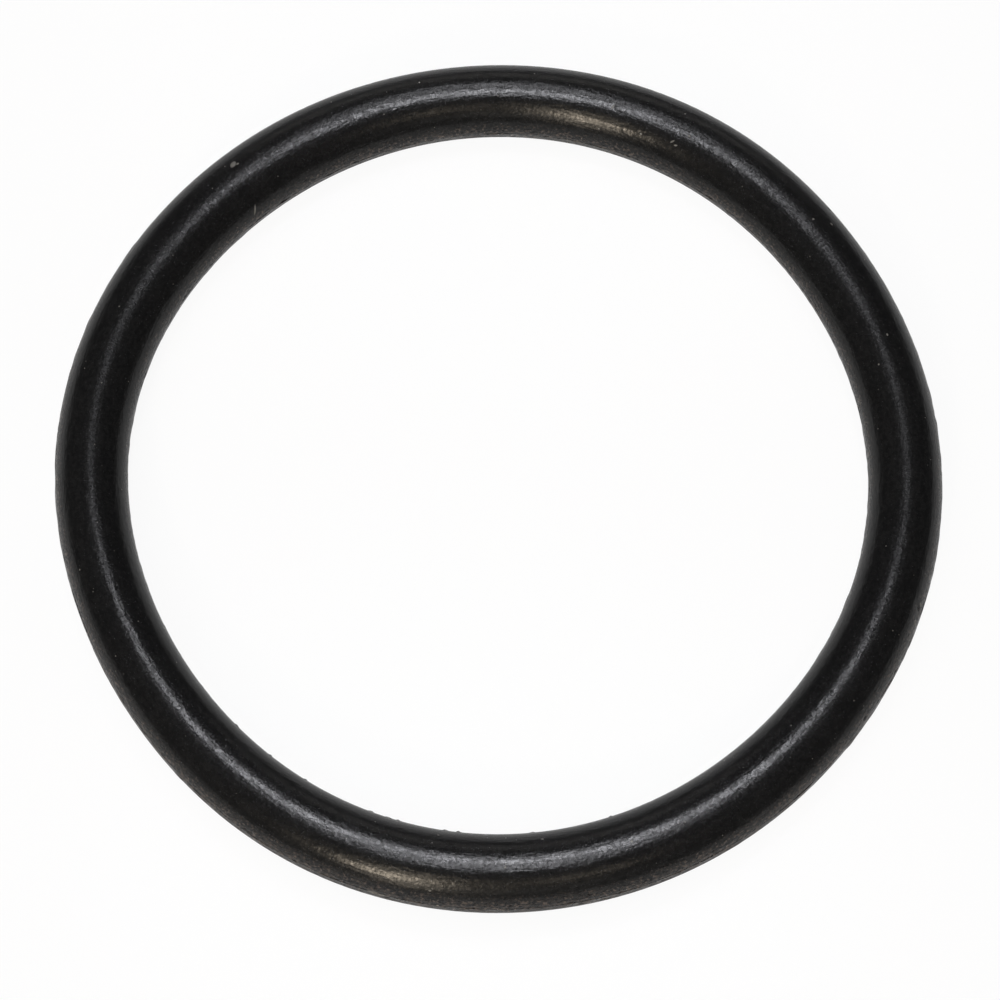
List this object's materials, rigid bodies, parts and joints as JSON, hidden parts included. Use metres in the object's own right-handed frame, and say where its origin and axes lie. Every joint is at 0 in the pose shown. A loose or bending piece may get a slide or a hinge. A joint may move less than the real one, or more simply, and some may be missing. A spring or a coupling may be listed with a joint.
{
  "type": "o-ring",
  "caption": "Solid rubber sealing ring with a round section, and a narrow trimmed parting line around its inside and its outside.",
  "frame": {"origin": "centre of the ring, on its axis and in the parting plane halfway up the section", "axes": "+Z along the ring's axis, X and Y in the parting plane; the ring lies flat, with its lowest point 1.765 mm below the origin"},
  "size_m": [0.0416, 0.0416, 0.0036],
  "materials": {
    "ring_rubber": "satin black moulded rubber, fine grained, lightly scuffed and dusty"
  },
  "bodies": {
    "root": {"o_ring": "ring_rubber"}
  },
  "joints": []
}
